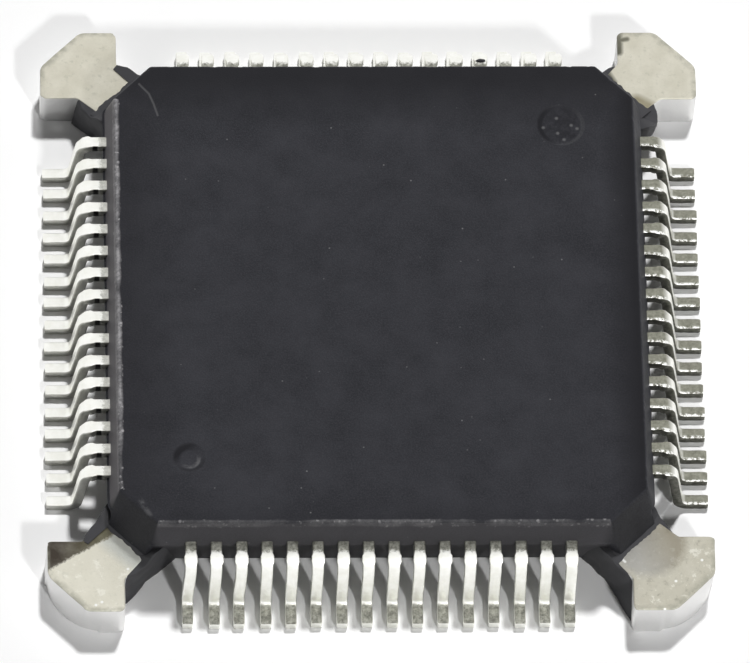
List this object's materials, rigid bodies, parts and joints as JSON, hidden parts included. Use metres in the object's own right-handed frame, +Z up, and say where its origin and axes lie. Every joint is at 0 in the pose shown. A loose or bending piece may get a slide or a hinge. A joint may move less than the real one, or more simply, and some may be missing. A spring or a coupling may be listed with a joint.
{
  "type": "quad flat pack chip",
  "caption": "Power quad flat pack chip: a black moulded body on a thick copper heat slug with a tail at each cut corner, and a row of gull-wing leads along every side.",
  "frame": {"origin": "middle of the footprint, on the plane of the board that the slug and the feet rest on", "axes": "+Z up out of the board; +X to the right and +Y to the back with the small index mark at the front left"},
  "size_m": [0.0172, 0.0172, 0.0026],
  "materials": {
    "mould_compound": "charcoal epoxy moulding compound, finely mottled and matt, with worn pale edges",
    "slug_plating": "matt warm tin plating over copper, with a few scuffs",
    "lead_plating": "satin tin plating over copper, uneven on the feet",
    "silicon": "polished grey silicon",
    "solder": "dull grey solder",
    "gold_wire": "bright drawn gold"
  },
  "bodies": {
    "root": {"bond_wires_back": "gold_wire", "bond_wires_front": "gold_wire", "bond_wires_left": "gold_wire", "bond_wires_right": "gold_wire", "die": "silicon", "die_solder": "solder", "heat_slug": "slug_plating", "leads_back_01_02": "lead_plating", "leads_back_03_04": "lead_plating", "leads_back_05_06": "lead_plating", "leads_back_07_08": "lead_plating", "leads_back_09_10": "lead_plating", "leads_back_11_12": "lead_plating", "leads_back_13_14": "lead_plating", "leads_back_15_16": "lead_plating", "leads_front_01_02": "lead_plating", "leads_front_03_04": "lead_plating", "leads_front_05_06": "lead_plating", "leads_front_07_08": "lead_plating", "leads_front_09_10": "lead_plating", "leads_front_11_12": "lead_plating", "leads_front_13_14": "lead_plating", "leads_front_15_16": "lead_plating", "leads_left_01_02": "lead_plating", "leads_left_03_04": "lead_plating", "leads_left_05_06": "lead_plating", "leads_left_07_08": "lead_plating", "leads_left_09_10": "lead_plating", "leads_left_11_12": "lead_plating", "leads_left_13_14": "lead_plating", "leads_left_15_16": "lead_plating", "leads_right_01_02": "lead_plating", "leads_right_03_04": "lead_plating", "leads_right_05_06": "lead_plating", "leads_right_07_08": "lead_plating", "leads_right_09_10": "lead_plating", "leads_right_11_12": "lead_plating", "leads_right_13_14": "lead_plating", "leads_right_15_16": "lead_plating", "moulded_body": "mould_compound"}
  },
  "joints": []
}
